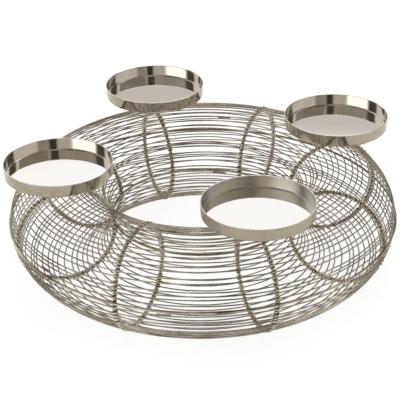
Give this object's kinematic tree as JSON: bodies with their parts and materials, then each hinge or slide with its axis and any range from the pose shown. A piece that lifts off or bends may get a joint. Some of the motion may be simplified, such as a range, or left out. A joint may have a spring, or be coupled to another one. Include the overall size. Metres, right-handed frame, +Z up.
{
  "type": "ring candle holder",
  "caption": "Ring-shaped cage of thin metal wires tied over round hoops, with shallow round candle pans raised on short posts on its crown.",
  "frame": {"origin": "on the surface that the ring stands on, at the ring's axis", "axes": "+Z up along the ring's axis; +X towards the first candle pan, +Y towards the second"},
  "size_m": [0.3556, 0.3556, 0.119],
  "materials": {
    "wire_metal": "drawn steel wire, nickel plated, satin, warm grey",
    "pan_metal": "pressed steel sheet, nickel plated, polished, warm grey"
  },
  "bodies": {
    "root": {"outer_rim_rod": "wire_metal", "inner_rim_rod": "wire_metal", "hoop_1": "wire_metal", "hoop_2": "wire_metal", "hoop_3": "wire_metal", "hoop_4": "wire_metal", "hoop_5": "wire_metal", "hoop_6": "wire_metal", "hoop_7": "wire_metal", "hoop_8": "wire_metal", "ring_wire_01": "wire_metal", "ring_wire_02": "wire_metal", "ring_wire_03": "wire_metal", "ring_wire_04": "wire_metal", "ring_wire_05": "wire_metal", "ring_wire_06": "wire_metal", "ring_wire_07": "wire_metal", "ring_wire_08": "wire_metal", "ring_wire_11": "wire_metal", "ring_wire_12": "wire_metal", "ring_wire_13": "wire_metal", "ring_wire_14": "wire_metal", "ring_wire_15": "wire_metal", "ring_wire_18": "wire_metal", "ring_wire_19": "wire_metal", "ring_wire_20": "wire_metal", "ring_wire_21": "wire_metal", "ring_wire_22": "wire_metal", "ring_wire_23": "wire_metal", "ring_wire_24": "wire_metal", "ring_wire_25": "wire_metal", "ring_wire_27": "wire_metal", "ring_wire_28": "wire_metal", "ring_wire_29": "wire_metal", "ring_wire_30": "wire_metal", "ring_wire_31": "wire_metal", "ring_wire_32": "wire_metal", "ring_wire_33": "wire_metal", "ring_wire_34": "wire_metal", "ring_wire_37": "wire_metal", "ring_wire_38": "wire_metal", "ring_wire_39": "wire_metal", "ring_wire_40": "wire_metal", "ring_wire_41": "wire_metal", "ring_wire_44": "wire_metal", "ring_wire_45": "wire_metal", "ring_wire_46": "wire_metal", "ring_wire_47": "wire_metal", "ring_wire_48": "wire_metal", "ring_wire_49": "wire_metal", "ring_wire_50": "wire_metal", "ring_wire_51": "wire_metal", "pan_post_1": "wire_metal", "candle_pan_1": "pan_metal", "pan_post_2": "wire_metal", "candle_pan_2": "pan_metal", "pan_post_3": "wire_metal", "candle_pan_3": "pan_metal", "pan_post_4": "wire_metal", "candle_pan_4": "pan_metal"}
  },
  "joints": []
}
